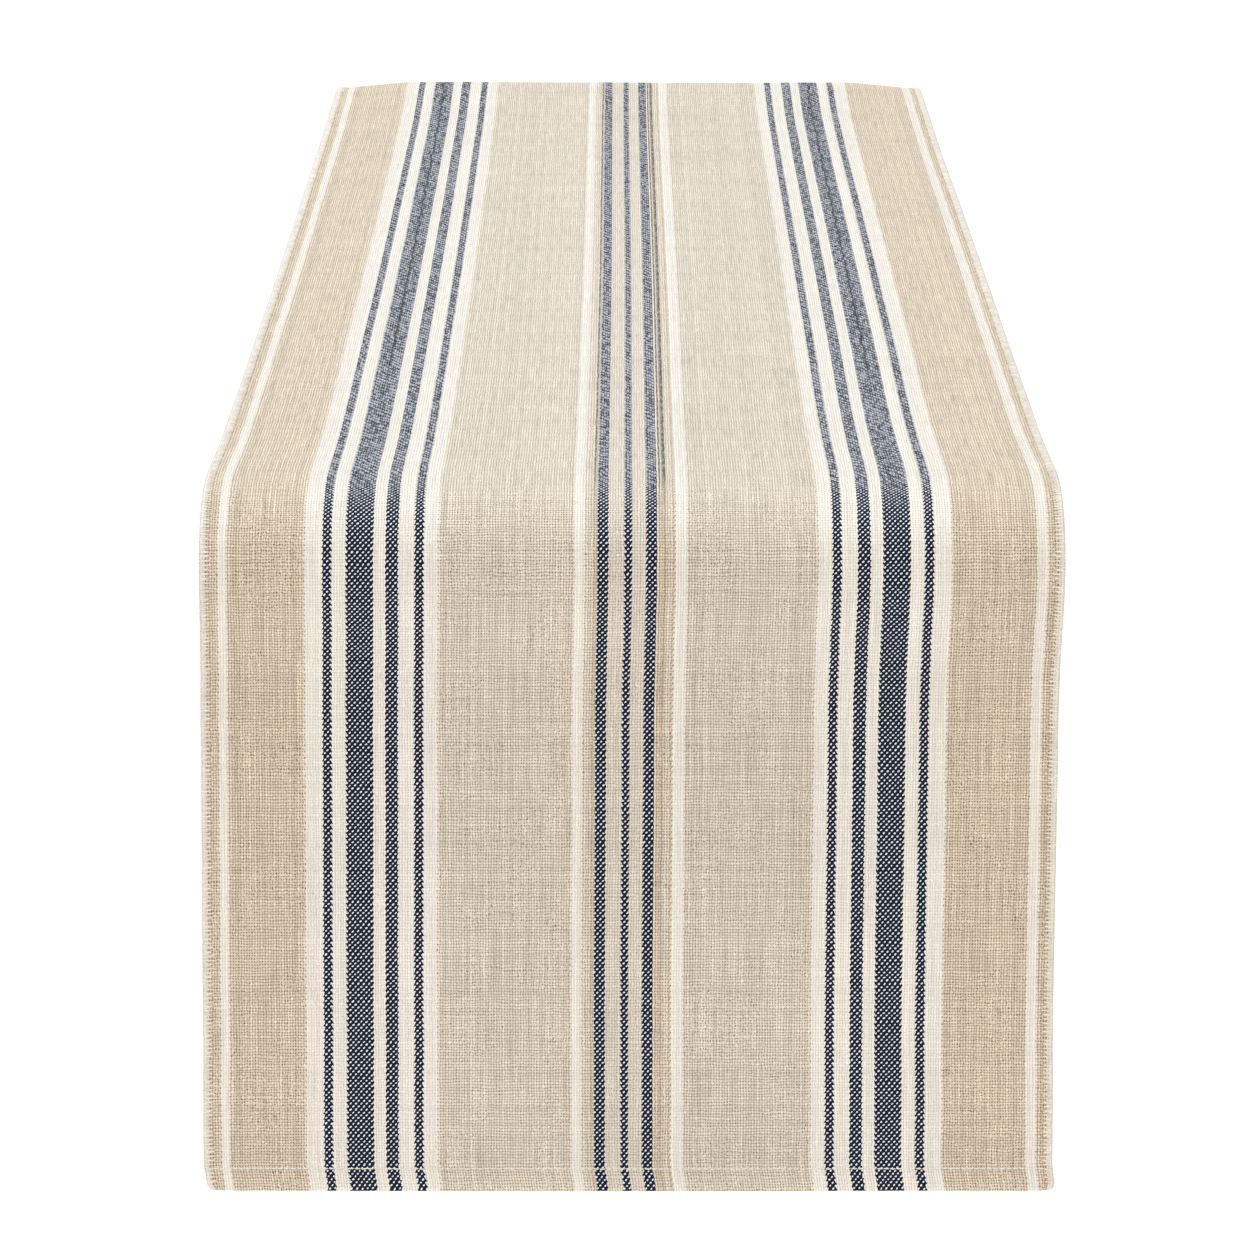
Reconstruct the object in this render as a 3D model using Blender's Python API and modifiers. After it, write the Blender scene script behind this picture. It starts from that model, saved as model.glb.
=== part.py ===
"""A woven table runner, hemmed on four sides, laid over a table so that one drop hangs at each end.

Metres, +Z up. X runs across the cloth and Y along it. The origin is the middle of the cloth's underside where it lies
on the table top. The cloth is built outwards from its table side: along the top, round a quarter bend at each end of
the table, and down to the end hem. Each drop hangs from an empty on the axis that it lifts about.
"""

import math

import bmesh
import bpy

# Cloth as cut and hemmed
runner_width = 0.3556  # 14 inches over the side hems
runner_length = 1.8288  # 72 inches over the end hems, laid flat
cloth_thickness = 0.0012
hem_thickness = 0.0026  # the cloth and the allowance turned behind it
side_hem_width = 0.0042
end_hem_depth = 0.0115
thread_diameter = 0.0005

# How it lies on the table
drop_height = 0.292  # from the table top down to the lower edge of an end hem
bend_radius = 0.0235  # of the cloth's table side, where it turns over the table's edge

# Where the stitching runs, from the inner edge of the allowance that it holds
end_seam_inset = 0.0015
overcast_inset = 0.0008

# Fits and finish
piece_gap = 0.0003  # between pieces that touch on the real cloth
swing_gap = 0.0010  # between a bend and the drop below it, which lifts past it
edge_round = 0.0003
bend_steps = 16
thread_bend_steps = 12

# Places that follow from the sizes above
half_width = runner_width / 2
middle_radius = bend_radius + cloth_thickness / 2
bend_length = math.pi / 2 * middle_radius
hanging_length = drop_height - bend_radius
flat_length = runner_length - 2 * (bend_length + hanging_length)
half_flat = flat_length / 2
half_table = half_flat + bend_radius  # the table side of a drop
panel_half_width = half_width - side_hem_width - piece_gap
drop_top = -bend_radius - swing_gap
hem_top = -drop_height + end_hem_depth
end_seam_height = hem_top - end_seam_inset
overcast_half_width = half_width - side_hem_width + overcast_inset
lift_axis_out = half_flat + math.pi / 4 * middle_radius  # keeps the cloth's length when a drop is lifted level
lift_axis_height = -bend_radius + math.pi / 4 * middle_radius
thread_stand_off = hem_thickness + piece_gap + thread_diameter / 2  # from the table side to a thread's middle

ENDS = {"front": -1, "back": 1}
SIDES = {"left": -1, "right": 1}


def clear_scene():
    for old in list(bpy.data.objects):
        bpy.data.objects.remove(old, do_unlink=True)


def finish(name, colour, roughness):
    """A Principled material for one piece."""
    material = bpy.data.materials.new(name)
    material.use_nodes = True
    shader = material.node_tree.nodes["Principled BSDF"]
    shader.inputs["Base Color"].default_value = (*colour, 1.0)
    shader.inputs["Roughness"].default_value = roughness
    shader.inputs["Metallic"].default_value = 0.0
    material.diffuse_color = (*colour, 1.0)
    return material


CLOTH_COLOUR = (0.66, 0.55, 0.42)
HEM_COLOUR = (0.74, 0.64, 0.52)
SEAM_COLOUR = (0.82, 0.76, 0.66)
OVERCAST_COLOUR = (0.60, 0.50, 0.38)


def place(name, data, colour, roughness, location=(0, 0, 0), hinge=None):
    """Adds a named piece to the runner's collection, hung on a drop's hinge where it moves."""
    piece = bpy.data.objects.new(name, data)
    runner.objects.link(piece)
    data.materials.append(finish(name, colour, roughness))
    piece.location = location
    if hinge:
        piece.parent = hinge
        piece.location = [a - b for a, b in zip(location, hinge.location)]
    return piece


def slab(name, low, high, colour, hinge=None):
    """A straight stretch of cloth or hem between two corners, with its edges just rounded."""
    bm = bmesh.new()
    bmesh.ops.create_cube(bm, size=1.0)
    bmesh.ops.scale(bm, vec=[b - a for a, b in zip(low, high)], verts=bm.verts)
    mesh = bpy.data.meshes.new(name)
    bm.to_mesh(mesh)
    bm.free()
    centre = [(a + b) / 2 for a, b in zip(low, high)]
    piece = place(name, mesh, colour, 0.9, centre, hinge)
    rounding = piece.modifiers.new("Rounding", "BEVEL")
    rounding.width = edge_round
    rounding.segments = 2
    return piece


def bend(name, x_low, x_high, thickness, end, colour):
    """A quarter bend over the table's edge: a line across the cloth, spun and thickened away from the table."""
    bm = bmesh.new()
    corners = [bm.verts.new((x, 0, bend_radius)) for x in (x_low, x_high)]
    line = bm.edges.new(corners)
    bmesh.ops.spin(
        bm, geom=[*corners, line], cent=(0, 0, 0), axis=(1, 0, 0), angle=-end * math.pi / 2, steps=bend_steps
    )
    bmesh.ops.recalc_face_normals(bm, faces=bm.faces)
    mesh = bpy.data.meshes.new(name)
    bm.to_mesh(mesh)
    bm.free()
    faces_out = mesh.polygons[0].normal.dot(mesh.polygons[0].center) > 0
    piece = place(name, mesh, colour, 0.9, (0, end * half_flat, -bend_radius))
    wall = piece.modifiers.new("Thickness", "SOLIDIFY")
    wall.thickness = thickness
    wall.offset = 1.0 if faces_out else -1.0
    wall.use_even_offset = True
    mesh.shade_smooth()
    return piece


def thread(name, route, hinge=None, colour=OVERCAST_COLOUR):
    """One length of sewing thread along a route of points."""
    curve = bpy.data.curves.new(name, "CURVE")
    curve.dimensions = "3D"
    curve.bevel_depth = thread_diameter / 2
    curve.bevel_resolution = 2
    curve.use_fill_caps = True
    line = curve.splines.new("POLY")
    line.points.add(len(route) - 1)
    origin = hinge.location if hinge else (0, 0, 0)
    for point, spot in zip(line.points, route):
        point.co = (*[a - b for a, b in zip(spot, origin)], 1.0)
    return place(name, curve, colour, 0.8, origin, hinge)


def make_hinge(name, end):
    hinge = bpy.data.objects.new(f"{name}_drop_hinge", None)
    hinge.empty_display_size = 0.05
    hinge.location = (0, end * lift_axis_out, lift_axis_height)
    runner.objects.link(hinge)
    return hinge


def drop_slab(name, end, x_span, z_span, thickness, colour, hinge):
    """A hanging stretch, thickened away from the table."""
    y_span = sorted((end * half_table, end * (half_table + thickness)))
    return slab(name, (x_span[0], y_span[0], z_span[0]), (x_span[1], y_span[1], z_span[1]), colour, hinge)


def make_top():
    panel_end = half_flat - piece_gap
    slab(
        "top_panel",
        (-panel_half_width, -panel_end, 0),
        (panel_half_width, panel_end, cloth_thickness),
        CLOTH_COLOUR,
    )
    for side_name, side in SIDES.items():
        x_span = sorted((side * half_width, side * (half_width - side_hem_width)))
        slab(
            f"{side_name}_side_hem_top",
            (x_span[0], -panel_end, 0),
            (x_span[1], panel_end, hem_thickness),
            HEM_COLOUR,
        )
        for end_name, end in ENDS.items():
            bend(f"{side_name}_side_hem_{end_name}_roll", *x_span, hem_thickness, end, HEM_COLOUR)
    for end_name, end in ENDS.items():
        bend(f"{end_name}_roll_panel", -panel_half_width, panel_half_width, cloth_thickness, end, CLOTH_COLOUR)


def make_drop(end_name, end):
    hinge = make_hinge(end_name, end)
    above_hem = hem_top + piece_gap
    drop_slab(
        f"{end_name}_drop_panel",
        end,
        (-panel_half_width, panel_half_width),
        (above_hem, drop_top),
        cloth_thickness,
        CLOTH_COLOUR,
        hinge,
    )
    drop_slab(
        f"{end_name}_end_hem",
        end,
        (-half_width, half_width),
        (-drop_height, hem_top),
        hem_thickness,
        HEM_COLOUR,
        hinge,
    )
    seam_out = end * (half_table + thread_stand_off)
    thread(
        f"{end_name}_end_hem_thread",
        [(x, seam_out, end_seam_height) for x in (-overcast_half_width, overcast_half_width)],
        hinge,
        SEAM_COLOUR,
    )
    for side_name, side in SIDES.items():
        x_span = sorted((side * half_width, side * (half_width - side_hem_width)))
        drop_slab(
            f"{side_name}_side_hem_{end_name}_drop",
            end,
            x_span,
            (above_hem, drop_top),
            hem_thickness,
            HEM_COLOUR,
            hinge,
        )
        seam_x = side * overcast_half_width
        thread(
            f"{side_name}_overcast_thread_{end_name}_drop",
            [(seam_x, seam_out, drop_top), (seam_x, seam_out, above_hem)],
            hinge,
        )


def make_top_overcast(side_name, side):
    """The side thread along the top and round both bends, ending where the drops begin."""
    x = side * overcast_half_width
    radius = bend_radius + thread_stand_off
    front_bend = []
    for step in range(thread_bend_steps + 1):
        angle = math.pi / 2 * step / thread_bend_steps
        front_bend.append((x, -half_flat - radius * math.cos(angle), -bend_radius + radius * math.sin(angle)))
    back_bend = [(x, -y, z) for x, y, z in reversed(front_bend)]
    thread(f"{side_name}_overcast_thread_top", front_bend + back_bend)


clear_scene()
runner = bpy.data.collections.new("table_runner")
bpy.context.scene.collection.children.link(runner)
make_top()
for end_name, end in ENDS.items():
    make_drop(end_name, end)
for side_name, side in SIDES.items():
    make_top_overcast(side_name, side)
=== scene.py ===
"""A striped cotton table runner, hemmed on four sides and draped over a table.

Metres, +Z up, X across and Y along. The cloth is two halves that meet at the middle of the table. Each is
one continuous sheet with its edges turned under. The stitches that hold the hems are real lengths of
thread on the cloth.
"""

import math
from types import SimpleNamespace

import bmesh
import bpy
import numpy as np
from mathutils import Matrix, Vector, noise


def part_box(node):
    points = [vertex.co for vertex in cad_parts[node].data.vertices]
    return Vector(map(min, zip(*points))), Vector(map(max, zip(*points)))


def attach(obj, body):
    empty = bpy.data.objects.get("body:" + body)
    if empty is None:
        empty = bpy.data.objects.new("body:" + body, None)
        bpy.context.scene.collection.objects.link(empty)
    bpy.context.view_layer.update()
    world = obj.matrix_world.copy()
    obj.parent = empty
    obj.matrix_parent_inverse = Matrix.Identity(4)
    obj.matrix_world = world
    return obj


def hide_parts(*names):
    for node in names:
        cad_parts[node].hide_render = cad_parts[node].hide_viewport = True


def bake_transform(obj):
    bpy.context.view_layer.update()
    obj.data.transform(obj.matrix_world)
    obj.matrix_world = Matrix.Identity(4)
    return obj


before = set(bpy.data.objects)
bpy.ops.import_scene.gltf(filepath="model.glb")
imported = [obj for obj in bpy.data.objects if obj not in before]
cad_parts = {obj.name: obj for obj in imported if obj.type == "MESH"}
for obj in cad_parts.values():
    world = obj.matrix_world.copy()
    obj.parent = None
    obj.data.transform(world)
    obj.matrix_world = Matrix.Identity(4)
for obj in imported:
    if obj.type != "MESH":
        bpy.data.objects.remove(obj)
bpy.context.view_layer.update()

MM = 0.001

# Sizes taken from the frame
hem_low, hem_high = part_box("front_end_hem")
top_low, top_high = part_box("top_panel")
side_low, side_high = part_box("left_side_hem_top")
seam_low, seam_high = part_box("front_end_hem_thread")
half_width = hem_high.x
table_edge = -hem_high.y
cloth = top_high.z - top_low.z
side_hem = side_high.x - side_low.x
end_hem = hem_high.z - hem_low.z
thread = seam_high.z - seam_low.z
seam_above_edge = (seam_low.z + seam_high.z) / 2 - hem_low.z
half_length = 0.9144  # of the finished cloth, laid flat
table_height = 0.74  # of the table top above the floor

# How the cloth lies. Distances along it are from the middle of the table.
fold_line = table_edge - 2.2 * MM  # where it turns over the table's edge
fold_softness = 32.6 * MM
hangs_free = 60 * MM  # past the fold
hang_slope = 0.05  # how far short of upright the drop ends up
tuck = 0.533  # how much the drop swings in below the fold
tuck_at = 33.6 * MM
tuck_reach = 28.0 * MM
swell = 0.0636  # how much the stiff cloth rises before the fold
swell_at = -80.0 * MM
swell_reach = 80.0 * MM
far_rise = 0.9 * MM  # of the middle of the far fold
far_sag = 3.6 * MM  # of its corners below that
far_corner_from = 0.72  # share of the half width where a far corner starts to sag
hem_pressed = 0.75  # share of a hem's step that is lost where the cloth swells or hangs
drawn_thickness = 0.94 * cloth

# The lower ends: pulled to one side below the seam, a little wider than the rest, with rounded corners
seam_skew = 1.4 * MM
skew_above_seam = 3 * MM
end_flare = 0.45 * MM
corner_round = 1.3 * MM
corner_round_reach = 5 * MM

# Hems: a tight turn, wider at a corner, where it goes round the side hem too
turn = 0.55 * cloth
corner_turn = 1.65 * cloth
hem_ease = 3 * MM  # how far inside a hem the cloth starts to rise over it

# Stitches
overcast_in = 2.6 * MM  # their middle, in from the side edge
overcast_reach = 3.6 * MM
seam_ends_in = 3.4 * MM
overcast_rise = 0.12 * MM
seam_rise = 0.10 * MM
stitch_pinch = 0.55  # how much thinner a stitch is at its ends
stitch_sunk = 0.15  # share of the thread that lies in the cloth


def smooth(value, start, stop):
    """0 before start, 1 after stop, and an even curve between."""
    share = np.clip((value - start) / (stop - start), 0, 1)
    return share * share * (3 - 2 * share)


def fold_angle(along):
    """How far the cloth has turned down, at a distance along it."""
    past = along - fold_line
    turned = (math.pi / 2 - hang_slope) * 0.5 * (1 + np.tanh(past / fold_softness))
    turned += tuck * np.exp(-(((past - tuck_at) / tuck_reach) ** 2))
    return turned - swell * np.exp(-(((past - swell_at) / swell_reach) ** 2))


profile_step = 0.25 * MM
profile_along = np.arange(0, half_length + 0.01, profile_step)
profile_angle = fold_angle(profile_along + profile_step / 2)
profile_out = np.concatenate([[0], np.cumsum(np.cos(profile_angle) * profile_step)[:-1]])
profile_high = cloth / 2 - np.concatenate([[0], np.cumsum(np.sin(profile_angle) * profile_step)[:-1]])


def unevenness(across, along):
    """Slow and quick ups and downs of a washed cloth, the same on both sides of the middle."""
    height = np.zeros(len(across))
    for wide, long, layer, amount in ((0.11, 0.16, 3.1, 0.9 * MM), (0.035, 0.05, 7.7, 0.18 * MM)):
        waves = [noise.noise(Vector((a / wide, b / long, layer))) for a, b in zip(across, along)]
        height += np.array(waves) * amount
    return height


def drift(along):
    """How far the cloth wanders sideways from the middle of the table."""
    below_fold = -along - fold_line  # on the front drop
    # In millimetres. It grows towards the front, and shrinks in two steps below the front fold.
    sway = 1.0 + 1.1 * smooth(-along, -0.6, 0.15)
    sway -= 1.1 * smooth(below_fold, 0.01, 0.09) + 0.6 * smooth(below_fold, 0.09, 0.21)
    return sway * MM


def turned_edge(distance, straight, radius):
    """Follows cloth past its straight run, round a half turn and back: the place, how deep, and the turn."""
    past = np.maximum(distance - straight, 0)
    angle = np.minimum(past / radius, math.pi)
    back = np.maximum(past - math.pi * radius, 0)
    place = np.minimum(distance, straight) + radius * np.sin(angle) - back
    return place, -radius * (1 - np.cos(angle)), angle


def over_hem(place, edge, hem):
    """0 inside a hem, 1 over it."""
    return smooth(place, edge - hem - hem_ease, edge - hem + 1 * MM)


def lie(across, along, end, above=0.0):
    """Points of the cloth in their place on the table, from where they are on the flat cloth.

    across and along are metres from its middle, and above is a height over its middle surface, on the side
    that faces up or out.
    """
    across, along = np.asarray(across, float), np.asarray(along, float)
    side = np.sign(across)
    side_straight = half_width - cloth / 2 - turn
    x, side_depth, side_angle = turned_edge(np.abs(across), side_straight, turn)
    near_side = over_hem(x, half_width, side_hem)
    end_turn = turn + (corner_turn - turn) * near_side
    end_straight = half_length - cloth / 2 - end_turn
    out_flat, end_depth, end_angle = turned_edge(along, end_straight, end_turn)

    near_end = over_hem(out_flat, half_length, end_hem)
    hanging = smooth(out_flat, fold_line, fold_line + hangs_free)
    layers = np.maximum(near_side, near_end)
    rising = smooth(out_flat, fold_line - 0.20, fold_line - 0.06)  # the swell leaves room for a hem below it
    lift = cloth * layers * (1.0 - hem_pressed * np.maximum(hanging, rising))
    inward = side_depth + above * np.cos(side_angle)
    sideways = above * np.sin(side_angle)
    height = end_depth + inward * np.cos(end_angle) + lift
    height += unevenness(across, along * end) * smooth(np.abs(along), 0.0, 0.15)
    if end > 0:  # the far corners sit lower than the middle of the far fold
        corner = smooth(np.abs(across), far_corner_from * half_width, half_width)
        sag = far_sag * corner - far_rise
        height -= sag * smooth(out_flat, fold_line - 0.16, fold_line - 0.04) * (1 - hanging)
    reach = out_flat + inward * np.sin(end_angle)

    angle = fold_angle(reach)
    out = np.interp(reach, profile_along, profile_out) + height * np.sin(angle)
    high = np.interp(reach, profile_along, profile_high) + height * np.cos(angle)
    skew = seam_skew * smooth(reach, half_length - seam_above_edge - skew_above_seam, half_length)
    rounded = corner_round * smooth(reach, half_length - corner_round_reach, half_length) ** 2
    flare = end_flare * smooth(reach, half_length - 0.07, half_length - 0.03) * x / half_width
    width = (x + sideways + flare) * side - rounded * side * near_side
    return np.stack([width + drift(along * end) + skew, end * out, high], axis=-1)


def spread(*runs):
    """Distances along a row of runs, each given as where it stops and how many steps it takes, from zero."""
    marks = [0.0]
    for stop, steps in runs:
        start = marks[-1]
        marks += [start + (stop - start) * (k + 1) / steps for k in range(steps)]
    return np.array(marks)


def cloth_columns():
    """Distances across the whole cloth, hem allowances too, close together at the turned edges."""
    straight = half_width - cloth / 2 - turn
    around = straight + math.pi * turn
    inner = half_width - side_hem - hem_ease
    half = spread((inner, 52), (straight, 7), (around, 6), (around + side_hem - cloth / 2 - turn, 3))
    return np.concatenate([-half[:0:-1], half])


def cloth_rows():
    """Distances out from the middle of the table, close together round the fold and the end hem."""
    straight = half_length - cloth / 2 - turn
    around = straight + math.pi * turn
    inner = half_length - end_hem - hem_ease
    return spread(
        (0.05 * MM, 1),  # so that the shading of the two halves agrees where they meet
        (fold_line - 0.15, 90),
        (fold_line + 0.09, 130),
        (inner, 62),
        (straight, 18),
        (around, 8),
        (around + end_hem - cloth / 2 - turn, 8),
    )


def make_cloth(name, end):
    """Half the runner: a flat grid, laid over the table with its cut edges turned under, then made thick."""
    columns, rows = cloth_columns(), cloth_rows()
    bm = bmesh.new()
    bmesh.ops.create_grid(bm, x_segments=len(columns) - 1, y_segments=len(rows) - 1, size=0.5)
    flat_map = bm.loops.layers.uv.new("flat")
    grid = np.array([v.co for v in bm.verts])
    column = np.rint((grid[:, 0] + 0.5) * (len(columns) - 1)).astype(int)
    row = np.rint((grid[:, 1] + 0.5) * (len(rows) - 1)).astype(int)
    across, along = columns[column], rows[row]
    places = lie(across, along, end)
    for vertex, place in zip(bm.verts, places):
        vertex.co = place
    for face in bm.faces:
        face.smooth = True
        for loop in face.loops:
            k = loop.vert.index
            loop[flat_map].uv = (across[k], end * along[k])
    if end < 0:
        bmesh.ops.reverse_faces(bm, faces=bm.faces)
    mesh = bpy.data.meshes.new(name)
    bm.to_mesh(mesh)
    bm.free()
    piece = bpy.data.objects.new(name, mesh)
    bpy.context.scene.collection.objects.link(piece)
    wall = piece.modifiers.new("Cloth thickness", "SOLIDIFY")
    wall.thickness = drawn_thickness
    wall.offset = 0.0
    return piece


def stitch_shape(sides, lengths):
    """One stitch as a unit bar along X, for bending into place."""
    bm = bmesh.new()
    bmesh.ops.create_cone(
        bm, cap_ends=True, cap_tris=False, segments=sides, radius1=1.0, radius2=1.0, depth=1.0,
        matrix=Matrix.Rotation(math.pi / 2, 4, "Y"),
    )
    for cut in range(1, lengths):
        place = (cut / lengths - 0.5, 0, 0)
        bmesh.ops.bisect_plane(bm, geom=[*bm.verts, *bm.edges, *bm.faces], plane_co=place, plane_no=(1, 0, 0))
    bmesh.ops.recalc_face_normals(bm, faces=bm.faces)
    mesh = bpy.data.meshes.new("stitch")
    bm.to_mesh(mesh)
    bm.free()
    return mesh


def sew(name, shape, stitches, end, width=thread):
    """A row of stitches as one piece. A stitch is its middle, its reach from end to end, and its rise."""
    bar = np.array([v.co for v in shape.vertices])
    across, along, above = [], [], []
    for middle, reach, rise in stitches:
        taper = 1 - stitch_pinch * np.abs(2 * bar[:, 0]) ** 3
        bow = 1 - (2 * bar[:, 0]) ** 2
        length = math.hypot(*reach)
        cross = (-reach[1] / length, reach[0] / length)
        across.append(middle[0] + reach[0] * bar[:, 0] + cross[0] * bar[:, 1] * width / 2 * taper)
        along.append(middle[1] + reach[1] * bar[:, 0] + cross[1] * bar[:, 1] * width / 2 * taper)
        above.append(cloth / 2 + rise * bow + bar[:, 2] * thread / 2 * taper - thread * stitch_sunk)
    places = lie(np.concatenate(across), np.concatenate(along), end, np.concatenate(above))
    bm = bmesh.new()
    for _ in stitches:
        bm.from_mesh(shape)
    for vertex, place in zip(bm.verts, places):
        vertex.co = place
    for face in bm.faces:
        face.smooth = True
    bmesh.ops.recalc_face_normals(bm, faces=bm.faces)
    mesh = bpy.data.meshes.new(name)
    bm.to_mesh(mesh)
    bm.free()
    piece = bpy.data.objects.new(name, mesh)
    bpy.context.scene.collection.objects.link(piece)
    return piece


def overcast_stitches(side, end, pitch=1.8 * MM):
    """Short bars from the rolled edge to the inner edge of the side hem, one after another along it."""
    rng = np.random.default_rng(11 + side + 3 * end)
    stitches = []
    for k in range(int((half_length - 3 * MM) / pitch)):
        middle = half_width - overcast_in + rng.normal(0, 0.12) * MM
        length = overcast_reach + rng.normal(0, 0.25) * MM
        slant = rng.normal(0.15, 0.12) * MM
        along = (k + 0.5) * pitch + rng.normal(0, 0.08) * MM
        tightness = noise.noise(Vector((along / (7.0 * MM), side, end)))
        middle += 0.55 * MM * tightness
        stitches.append(((side * middle, along), (side * length, slant), overcast_rise))
    return stitches


def seam_stitches(pitch=2.7 * MM):
    """The straight row that holds an end hem."""
    rng = np.random.default_rng(5)
    reach = half_width - seam_ends_in
    count = int(2 * reach / pitch)
    stitches = []
    for k in range(count):
        across = (k + 0.5 - count / 2) * pitch
        along = half_length - seam_above_edge + rng.normal(0, 0.05) * MM
        stitches.append(((across, along), (pitch * 0.9, rng.normal(0, 0.05) * MM), seam_rise))
    return stitches


class Graph:
    """A material whose nodes are added and joined one call at a time."""

    def __init__(self, name):
        self.material = bpy.data.materials.new(name)
        self.material.use_nodes = True
        self.nodes = self.material.node_tree.nodes
        self.links = self.material.node_tree.links
        self.shader = self.nodes["Principled BSDF"]

    def add(self, kind, *values, **settings):
        node = self.nodes.new(kind)
        for key, value in settings.items():
            setattr(node, key, value)
        for socket, value in zip(node.inputs, values):
            self.feed(socket, value)
        return node

    def feed(self, socket, value):
        if isinstance(value, bpy.types.NodeSocket):
            self.links.new(value, socket)
        elif value is not None:
            socket.default_value = value

    def math(self, operation, *values):
        return self.add("ShaderNodeMath", *values, operation=operation).outputs[0]

    def times(self, a, b):
        return self.math("MULTIPLY", a, b)

    def plus(self, a, b):
        return self.math("ADD", a, b)

    def curve(self, value, start, stop, low=0.0, high=1.0):
        node = self.add("ShaderNodeMapRange", interpolation_type="SMOOTHSTEP")
        for socket, number in zip(node.inputs, (value, start, stop, low, high)):
            self.feed(socket, number)
        return node.outputs[0]

    def join(self, x, y, z=0.0):
        return self.add("ShaderNodeCombineXYZ", x, y, z).outputs[0]

    def noise(self, place, scale=1.0, detail=2.0):
        node = self.add("ShaderNodeTexNoise", noise_dimensions="3D")
        self.feed(node.inputs["Vector"], place)
        node.inputs["Scale"].default_value = scale
        node.inputs["Detail"].default_value = detail
        return node.outputs["Fac"]

    def swing(self, u, v, scale_u, scale_v, amount, layer=0.0):
        """A smooth random offset either side of zero."""
        wave = self.noise(self.join(self.times(u, scale_u), self.times(v, scale_v), layer), 1.0, 2.0)
        return self.times(self.math("SUBTRACT", wave, 0.5), amount)

    def chance(self, number, seed):
        """A fixed random number from 0 to 1 for each whole number."""
        node = self.add("ShaderNodeTexWhiteNoise", noise_dimensions="2D")
        self.feed(node.inputs["Vector"], self.join(number, seed))
        return node.outputs["Value"]

    def mix(self, share, a, b, blend="MIX"):
        node = self.add("ShaderNodeMix", data_type="RGBA", blend_type=blend)
        self.feed(node.inputs["Factor"], share)
        self.feed(node.inputs[6], a)
        self.feed(node.inputs[7], b)
        return node.outputs[2]

    def choose(self, share, a, b):
        """One number or another, by share."""
        return self.plus(self.times(a, self.math("SUBTRACT", 1.0, share)), self.times(b, share))

    def bands(self, place, stops):
        """A hard-edged ramp: each stop is where a band starts and its colour."""
        node = self.add("ShaderNodeValToRGB", place)
        ramp = node.color_ramp
        ramp.interpolation = "CONSTANT"
        while len(ramp.elements) < len(stops):
            ramp.elements.new(1.0)
        for element, (start, shade) in zip(ramp.elements, stops):
            element.position = start
            element.color = shade
        return node.outputs["Color"]

    def emboss(self, height, strength, distance):
        """Raises the surface's fine relief where height is more."""
        bump = self.add("ShaderNodeBump")
        bump.inputs["Strength"].default_value = strength
        bump.inputs["Distance"].default_value = distance
        self.feed(bump.inputs["Height"], height)
        self.feed(self.shader.inputs["Normal"], bump.outputs[0])


def shade(red, green, blue):
    """A linear colour from its screen values in 255ths."""
    parts = [c / 255 for c in (red, green, blue)]
    return tuple(c / 12.92 if c <= 0.04045 else ((c + 0.055) / 1.055) ** 2.4 for c in parts) + (1.0,)


YARNS = {  # a warp colour, then how it weaves: as dark ink, how evenly, and as a pin thread
    "navy": (shade(8, 22, 44), (1, 0, 0)),
    "cream": (shade(242, 232, 219), (0, 1, 0)),
    "blush": (shade(242, 232, 219), (0, 0.9, 0)),
    "biscuit": (shade(222, 208, 191), (0, 0.5, 0)),
    "oat": (shade(222, 207, 188), (0, 0.15, 0)),
    "flax": (shade(219, 199, 174), (0, 0, 0)),
    "pin": (shade(206, 182, 152), (0, 0.2, 1)),
    "rust": (shade(196, 168, 136), (0, 0.2, 0)),
    "tan": (shade(206, 180, 150), (0, 0, 0)),
    "edge": (shade(233, 220, 203), (0, 1, 0)),
}

# Where each colour of warp stops, in millimetres out from the centre line of the stripes
RIGHT_NEAR = (
    (1.35, "navy"), (6.8, "biscuit"), (11.5, "navy"), (12.6, "oat"), (13.2, "pin"), (13.7, "oat"),
    (14.9, "pin"), (18.3, "oat"), (18.9, "rust"), (23.8, "cream"), (77.2, "oat"),
)
LEFT_NEAR = (
    (1.35, "navy"), (7.6, "biscuit"), (11.9, "navy"), (12.9, "oat"), (13.5, "pin"), (17.7, "oat"),
    (22.2, "cream"), (77.2, "oat"),
)
FAR = (
    (83.3, "cream"), (87.1, "navy"), (94.0, "blush"), (98.9, "navy"), (104.5, "blush"), (115.7, "navy"),
    (121.5, "blush"), (125.0, "navy"), (132.2, "cream"),
)
EDGE = ((11.8, "flax"), (7.9, "cream"), (5.4, "flax"), (2.9, "tan"))  # in from the side edge
centre_line = -1.6  # of the stripes, from the middle of the cloth
pins_out = 14.0  # the middle of the pin threads
crease_shade_out = 110.2  # the middle of the widest navy stripe
ramp_span = 190.0  # what a stripe ramp covers
warp_pitch, weft_pitch = 1.12, 1.26  # from one yarn to the next
flat_until, hung_by = (fold_line - 0.058) / MM, (fold_line - 0.004) / MM  # where the weave's look changes
crease_shade_front, crease_shade_full = -420.0, -260.0  # where the painted crease shade ends towards the front, and where it is full

# The pale dots and streaks on navy
dot_lean = -0.55
dot_half_length = 0.34  # share of the weft pitch
streak_pitch = 7.0
streak_lag = 0.31  # share of a streak that one yarn's streaks lag behind its neighbour's

# Navy in painted shade, for where the yarns dip under each other and for the crease
NAVY_SHADE = shade(3, 9, 20)


def stripe_bands(near, side):
    """The stripes of one side as band starts and yarn names, out to the edge."""
    edge = half_width / MM - side * centre_line
    stops = [*near, *FAR, *[(edge - inward, name) for inward, name in EDGE], (ramp_span, "edge")]
    starts = [0.0] + [stop for stop, _ in stops[:-1]]
    return [(start / ramp_span, name) for start, (_, name) in zip(starts, stops)]


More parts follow.
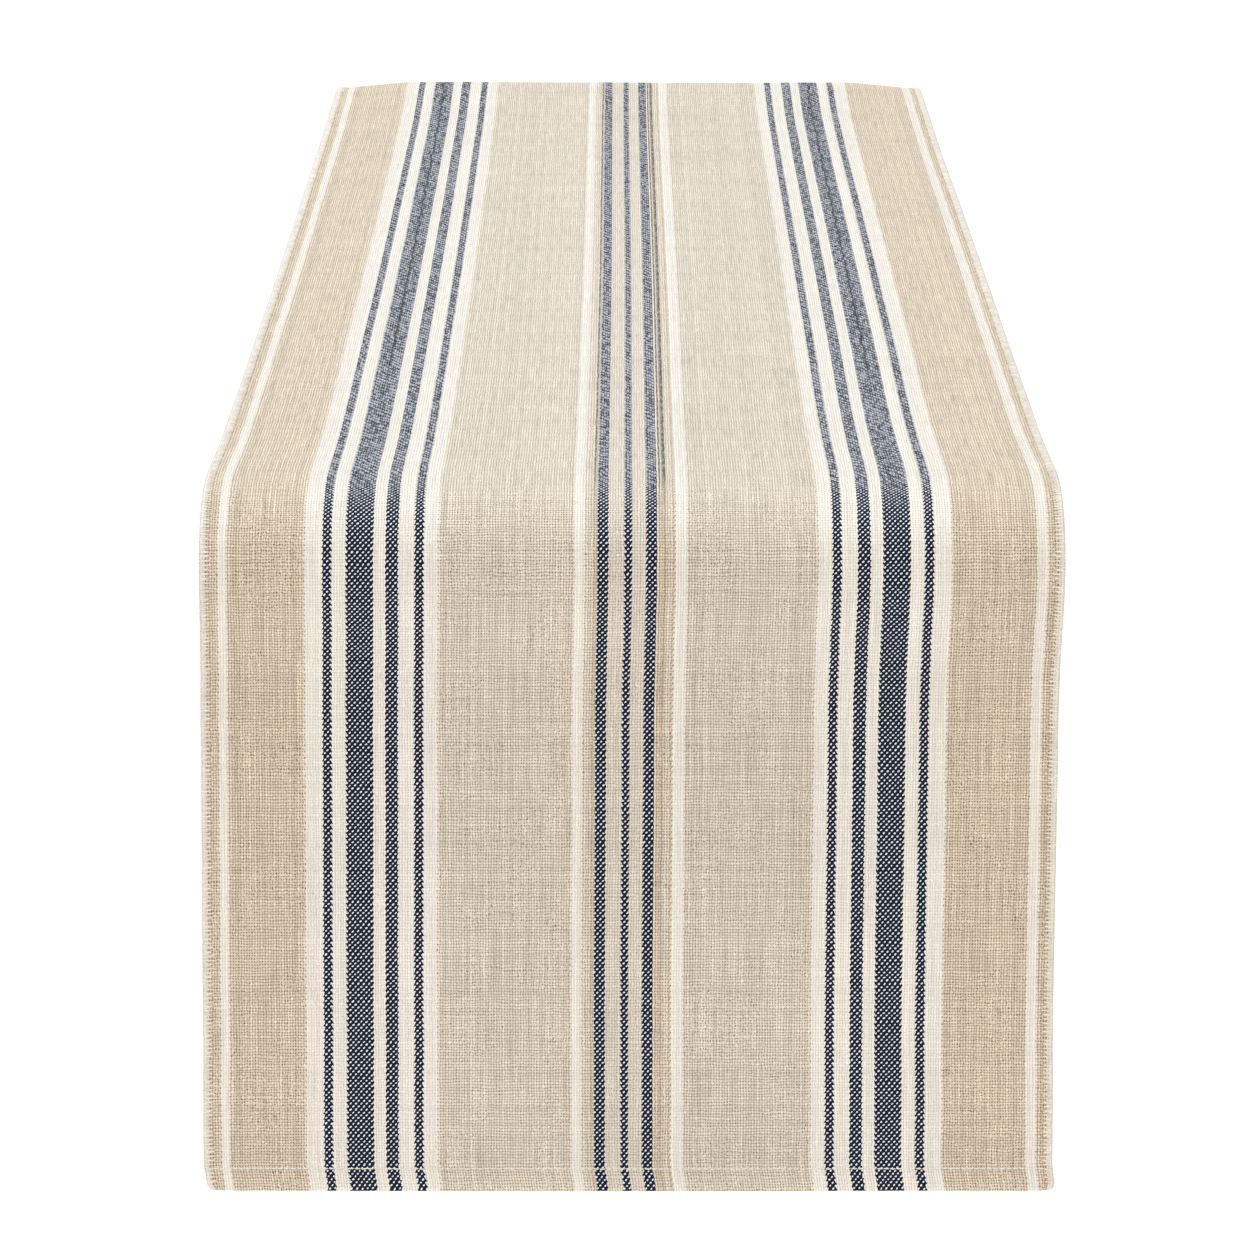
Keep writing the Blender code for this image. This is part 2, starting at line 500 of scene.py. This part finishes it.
def stray(g, u, v):
    """How far warp and weft wander, so that their crossings are never on an exact grid."""
    warp_stray = g.plus(g.swing(u, v, 0.11, 0.10, 0.9), g.swing(u, v, 0.42, 0.30, 0.4, 5.0))
    weft_stray = g.plus(g.swing(u, v, 0.08, 0.16, 1.6, 4.0), g.swing(u, v, 0.30, 0.42, 0.6, 8.0))
    return warp_stray, weft_stray


def loosen(g, u, v, warp_stray, weft_stray, ink):
    """The pale yarns are less even than the dark ones, more so in some places than in others."""
    loose = g.math("SUBTRACT", 1.0, g.times(ink, 0.85))
    loose = g.times(loose, g.curve(g.swing(u, v, 0.05, 0.035, 1.0, 13.0), -0.12, 0.12, 0.30, 0.85))
    warp_stray = g.plus(warp_stray, g.times(g.swing(u, v, 0.8, 0.5, 1.5, 11.0), loose))
    weft_stray = g.plus(weft_stray, g.times(g.swing(u, v, 0.6, 0.8, 1.9, 15.0), loose))
    return warp_stray, weft_stray


def stripes(g, u, v, warp_stray, weft_stray):
    """The distance out across the stripes, and the warp's colour and habits there.

    The stripes' edges step in and out as the yarns cross.
    """
    out = g.plus(g.plus(u, -centre_line), g.times(warp_stray, 0.5))
    from_pins = g.math("ABSOLUTE", g.plus(g.math("ABSOLUTE", out), -pins_out))
    step_size = g.curve(from_pins, 1.9, 2.6, 0.05, 0.27)
    step = g.times(g.math("COSINE", g.times(g.plus(v, weft_stray), math.pi / weft_pitch)), step_size)
    right = g.math("GREATER_THAN", out, 0.0)
    spot = g.times(g.plus(g.math("ABSOLUTE", out), step), 1 / ramp_span)
    colours, habits = [], []
    for near, side in ((LEFT_NEAR, -1), (RIGHT_NEAR, 1)):
        stops = stripe_bands(near, side)
        colours.append(g.bands(spot, [(start, YARNS[yarn][0]) for start, yarn in stops]))
        habits.append(g.bands(spot, [(start, (*YARNS[yarn][1], 1.0)) for start, yarn in stops]))
    warp_colour = g.mix(right, *colours)
    habit = g.add("ShaderNodeSeparateColor", g.mix(right, *habits)).outputs
    return out, warp_colour, habit[0], habit[1], habit[2]


def crossings(g, u, v, warp_stray, weft_stray):
    """A point's place among the yarns: their numbers, how far off their middles, and which is on top."""
    warp = g.times(g.plus(u, warp_stray), 1 / warp_pitch)
    weft = g.times(g.plus(v, weft_stray), 1 / weft_pitch)
    at = SimpleNamespace()
    at.warp_number, at.weft_number = g.math("FLOOR", warp), g.math("FLOOR", weft)
    at.warp_off = g.math("SUBTRACT", g.math("FRACT", warp), 0.5)
    at.weft_off = g.math("SUBTRACT", g.math("FRACT", weft), 0.5)
    at.warp_up = g.math("FLOORED_MODULO", g.plus(at.warp_number, at.weft_number), 2.0)
    at.chance = g.chance(at.warp_number, at.weft_number)
    return at


def yarn_height(g, at):
    """Rounded bars that dive under one another."""
    warp_round = g.math("COSINE", g.times(at.warp_off, math.pi))
    weft_round = g.math("COSINE", g.times(at.weft_off, math.pi))
    warp_top = g.times(warp_round, g.plus(g.times(weft_round, 0.45), 0.55))
    weft_top = g.times(weft_round, g.plus(g.times(warp_round, 0.45), 0.55))
    return g.choose(at.warp_up, weft_top, warp_top)


def pale_weave(g, u, v, at, warp_colour, warp_slub, even, flat_share):
    """Pale yarns, each with its own tone and slubs, and painted shade in the corners and grooves between
    them.
    """
    weft_slub = g.noise(g.join(g.times(u, 0.05), g.times(v, 0.8), 6.0), 1.0, 2.0)
    cloud = g.noise(g.join(g.times(u, 0.02), g.times(v, 0.014), 9.0), 1.0, 3.0)
    tone = 0.973
    for source, rough_amount, even_amount in (
        (g.chance(at.warp_number, 1.0), 0.14, 0.07),
        (g.chance(at.weft_number, 2.0), 0.10, 0.05),
        (at.chance, 0.12, 0.05),
        (warp_slub, 0.75, 0.40),
        (weft_slub, 0.31, 0.14),
        (cloud, 0.12, 0.12),
    ):
        amount = g.choose(even, rough_amount, even_amount)
        tone = g.plus(tone, g.times(g.math("SUBTRACT", source, 0.5), amount))
    # Painted shade: the even pale yarns are a little darker on the flat top than where they hang
    tone = g.math("SUBTRACT", tone, g.times(g.times(even, flat_share), 0.07))
    # Painted shade in the grooves between neighbouring warps
    groove_shade = g.curve(g.math("ABSOLUTE", at.warp_off), 0.28, 0.5)
    tone = g.times(tone, g.math("SUBTRACT", 1.0, g.times(groove_shade, g.choose(even, 0.10, 0.16))))

    # Painted shade in the gap at each corner where the yarns cross
    gap_shade = g.curve(g.plus(g.math("ABSOLUTE", at.warp_off), g.math("ABSOLUTE", at.weft_off)), 0.42, 0.92)
    gap_shade = g.times(gap_shade, g.times(g.choose(even, 0.98, 0.30), g.plus(g.times(at.chance, 0.35), 0.62)))
    shade_warmth = (0.92, 1.03, 1.16)  # the painted shade in the gaps is browner than the yarns
    light = [g.times(tone, g.math("SUBTRACT", 1.0, g.times(gap_shade, share))) for share in shade_warmth]
    weft_share = g.times(g.math("SUBTRACT", 1.0, at.warp_up), 0.30)
    pale = g.mix(weft_share, warp_colour, shade(238, 230, 216))
    return g.mix(1.0, pale, g.add("ShaderNodeCombineColor", *light).outputs[0], "MULTIPLY")


def navy_weave(g, u, v, at, warp_colour, height, out, flat_share):
    """Dark warp, with the pale weft showing as small slanting dots and with pale streaks along the table,
    partly painted sheen.
    """
    phase = g.plus(g.times(v, 1 / streak_pitch), g.times(at.warp_number, streak_lag))
    phase = g.plus(phase, g.swing(u, v, 0.10, 0.035, 2.2, 17.0))
    heather = g.plus(
        g.times(g.math("SINE", g.times(phase, 2 * math.pi)), 0.5),
        g.math("SUBTRACT", g.chance(at.warp_number, g.math("FLOOR", g.times(v, 0.2))), 0.5),
    )
    slant = g.plus(at.warp_off, g.times(at.weft_off, dot_lean))
    dot_size = g.plus(g.times(at.chance, 0.12), g.choose(flat_share, 0.30, 0.22))
    dot_size = g.plus(dot_size, g.times(heather, g.choose(flat_share, 0.04, 0.26)))
    dot_across = g.math("POWER", g.math("DIVIDE", slant, dot_size), 2.0)
    dot_along = g.math("POWER", g.times(at.weft_off, 1 / dot_half_length), 2.0)
    dot = g.curve(g.plus(dot_across, dot_along), 0.5, 1.25, 1.0, 0.0)
    dot = g.times(dot, g.math("SUBTRACT", 1.0, at.warp_up))

    # Painted shade on the navy where the yarns dip under each other
    colour = g.mix(g.curve(height, 0.0, 0.9), NAVY_SHADE, warp_colour)
    # Pale grey streaks on the flat top only: partly the yarns' streaky look, partly painted sheen
    sheen_streak = g.times(g.curve(heather, 0.07, 0.27), g.times(flat_share, 0.59))
    colour = g.mix(sheen_streak, colour, shade(178, 175, 180))
    colour = g.mix(dot, colour, shade(234, 236, 241))

    # The painted shade of a crease wanders along the widest stripe and fades out before the front fold
    crease_shade_off = g.plus(g.math("ABSOLUTE", out), -crease_shade_out)
    crease_shade_off = g.math("ABSOLUTE", g.plus(crease_shade_off, g.swing(u, v, 0.0, 0.05, 4.5, 21.0)))
    crease_shade = g.times(g.curve(crease_shade_off, 0.35, 0.8, 0.75, 0.0), g.curve(v, crease_shade_front, crease_shade_full))
    return g.mix(g.times(crease_shade, flat_share), colour, NAVY_SHADE)


def seam_shadow(g, v, ink, even):
    """How much a shallow shadow darkens the pale cloth along the seam of an end hem."""
    from_seam = g.math("SUBTRACT", g.math("ABSOLUTE", v), (half_length - seam_above_edge) / MM)
    depth = g.curve(g.math("ABSOLUTE", from_seam), 0.1, 0.8, 0.20, 0.0)
    return g.times(depth, g.math("SUBTRACT", 1.0, g.plus(ink, g.times(even, 0.4))))


def weave(name):
    """The runner's cloth: a plain weave of striped warp and pale weft, in millimetres on its flat map."""
    g = Graph(name)
    flat_map = g.add("ShaderNodeUVMap", uv_map="flat").outputs[0]
    parts = g.add("ShaderNodeSeparateXYZ", flat_map).outputs
    u, v = g.times(parts[0], 1 / MM), g.times(parts[1], 1 / MM)
    hung = g.curve(g.math("ABSOLUTE", v), flat_until, hung_by)
    flat_share = g.math("SUBTRACT", 1.0, hung)

    strays = stray(g, u, v)
    out, warp_colour, ink, even, pin = stripes(g, u, v, *strays)
    at = crossings(g, u, v, *loosen(g, u, v, *strays, ink))
    height = yarn_height(g, at)
    warp_slub = g.noise(g.join(g.times(u, 1.3), g.times(v, 0.035), 2.0), 1.0, 3.0)

    # Pin threads are slate along the table and tan where they hang
    patchy = g.curve(g.swing(u, v, 0.7, 0.12, 1.0, 25.0), -0.12, 0.08, 0.45, 1.0)
    warp_colour = g.mix(g.times(g.times(pin, flat_share), patchy), warp_colour, shade(32, 38, 52))
    pale = pale_weave(g, u, v, at, warp_colour, warp_slub, even, flat_share)
    colour = g.mix(ink, pale, navy_weave(g, u, v, at, warp_colour, height, out, flat_share))
    colour = g.mix(seam_shadow(g, v, ink, even), colour, shade(150, 122, 92))

    g.feed(g.shader.inputs["Base Color"], colour)
    fuzz = g.noise(g.join(g.times(u, 4.0), g.times(v, 4.0), 1.0), 1.0, 2.0)
    relief = g.plus(g.times(height, 0.75), g.times(g.plus(warp_slub, fuzz), 0.25))
    g.emboss(relief, 0.7, 0.3 * MM)
    g.feed(g.shader.inputs["Roughness"], g.curve(fuzz, 0.2, 0.8, 0.82, 0.95))
    g.shader.inputs["Specular IOR Level"].default_value = 0.25
    g.shader.inputs["Sheen Weight"].default_value = 0.06
    g.shader.inputs["Sheen Roughness"].default_value = 0.45
    return g.material


def spun_thread(name, colour, darkest):
    """Sewing thread with fine plies and a soft surface. darkest is the colour's share in the painted shade
    between the plies and in darker patches of tone.
    """
    g = Graph(name)
    place = g.add("ShaderNodeTexCoord").outputs["Object"]
    plies = g.noise(place, scale=2600.0)
    tone = g.noise(place, scale=240.0)
    # Darker partly in painted shade between the plies, partly in random patches of tone
    shade_share = g.plus(g.times(plies, 0.35), g.times(tone, 0.35))
    ply_shade_and_tone = tuple(c * darkest for c in colour[:3]) + (1.0,)
    g.feed(g.shader.inputs["Base Color"], g.mix(g.curve(shade_share, 0.2, 0.5), ply_shade_and_tone, colour))
    g.emboss(plies, 0.5, 0.08 * MM)
    g.shader.inputs["Roughness"].default_value = 0.7
    g.shader.inputs["Specular IOR Level"].default_value = 0.3
    g.shader.inputs["Sheen Weight"].default_value = 0.2
    return g.material


def make_runner():
    """Both halves of the cloth and their stitches; the stitches of each end hem ride on the body of its drop.
    """
    cloth_material = weave("striped_cotton")
    overcast_material = spun_thread("overcast_cotton", shade(246, 236, 222), 0.66)
    seam_material = spun_thread("seam_cotton", shade(240, 232, 217), 0.84)
    overcast_bar = stitch_shape(6, 4)
    seam_bar = stitch_shape(6, 4)
    for end_name, end in (("front", -1), ("back", 1)):
        drop = f"{end_name}_drop"
        half = make_cloth(f"{end_name}_cloth", end)
        half.data.materials.append(cloth_material)
        for side_name, side in (("left", -1), ("right", 1)):
            name = f"{side_name}_overcast_{end_name}"
            edge = sew(name, overcast_bar, overcast_stitches(side, end), end, 1.6 * thread)
            edge.data.materials.append(overcast_material)
            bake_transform(edge)
            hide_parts(f"{side_name}_overcast_thread_top", f"{side_name}_overcast_thread_{drop}")
        seam = sew(f"{end_name}_hem_stitches", seam_bar, seam_stitches(), end, 1.3 * thread)
        seam.data.materials.append(seam_material)
        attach(seam, drop)
        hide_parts(f"{end_name}_end_hem_thread")
        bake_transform(half)
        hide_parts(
            "top_panel", f"{end_name}_roll_panel", f"{end_name}_drop_panel", f"{end_name}_end_hem"
        )
        for side_name in ("left", "right"):
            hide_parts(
                f"{side_name}_side_hem_top",
                f"{side_name}_side_hem_{end_name}_roll",
                f"{side_name}_side_hem_{end_name}_drop",
            )


def make_floor():
    """A wide pale floor where the table would stand."""
    bm = bmesh.new()
    bmesh.ops.create_grid(bm, x_segments=1, y_segments=1, size=40.0)
    bmesh.ops.translate(bm, vec=(0, 0, -table_height), verts=bm.verts)
    mesh = bpy.data.meshes.new("floor")
    bm.to_mesh(mesh)
    bm.free()
    floor = bpy.data.objects.new("floor", mesh)
    bpy.context.scene.collection.objects.link(floor)
    g = Graph("pale_floor")
    g.shader.inputs["Base Color"].default_value = (0.95, 0.95, 0.95, 1.0)
    g.shader.inputs["Roughness"].default_value = 0.9
    g.shader.inputs["Specular IOR Level"].default_value = 0.1
    g.shader.inputs["Emission Color"].default_value = (1.0, 1.0, 1.0, 1.0)
    g.shader.inputs["Emission Strength"].default_value = 0.1
    floor.data.materials.append(g.material)


def soft_light(name, place, target, size, power, colour):
    """A round lamp at a place, turned towards its target."""
    data = bpy.data.lights.new(name, "AREA")
    data.color = colour
    data.shape = "DISK"
    data.size = size
    data.energy = power
    light = bpy.data.objects.new(name, data)
    light.location = place
    light.rotation_euler = (Vector(target) - Vector(place)).to_track_quat("-Z", "Y").to_euler()
    bpy.context.scene.collection.objects.link(light)


def make_studio():
    """Even white light from all round, and one large cool lamp overhead."""
    world = bpy.data.worlds.new("studio")
    world.use_nodes = True
    world.node_tree.nodes["Background"].inputs["Color"].default_value = (1.0, 1.0, 1.0, 1.0)
    world.node_tree.nodes["Background"].inputs["Strength"].default_value = 1.0
    bpy.context.scene.world = world
    cool_white = (0.71, 0.87, 1.0)
    soft_light("overhead", (-1.2, 0.05, 3.2), (0, 0, 0), size=3.0, power=71.0, colour=cool_white)
    bpy.context.scene.view_settings.view_transform = "Standard"


def make_camera():
    """In front of the runner and a little above it, looking down along the cloth."""
    camera_dip = 13.2185  # degrees below level
    data = bpy.data.cameras.new("camera")
    data.lens = 170.0
    data.sensor_width = 36.0
    data.clip_end = 200.0
    camera = bpy.data.objects.new("camera", data)
    camera.location = (0, -3.000, 0.509)
    camera.rotation_euler = (math.radians(90 - camera_dip), 0, 0)
    bpy.context.scene.collection.objects.link(camera)
    bpy.context.scene.camera = camera


make_runner()
make_floor()
make_studio()
make_camera()

bpy.context.view_layer.update()
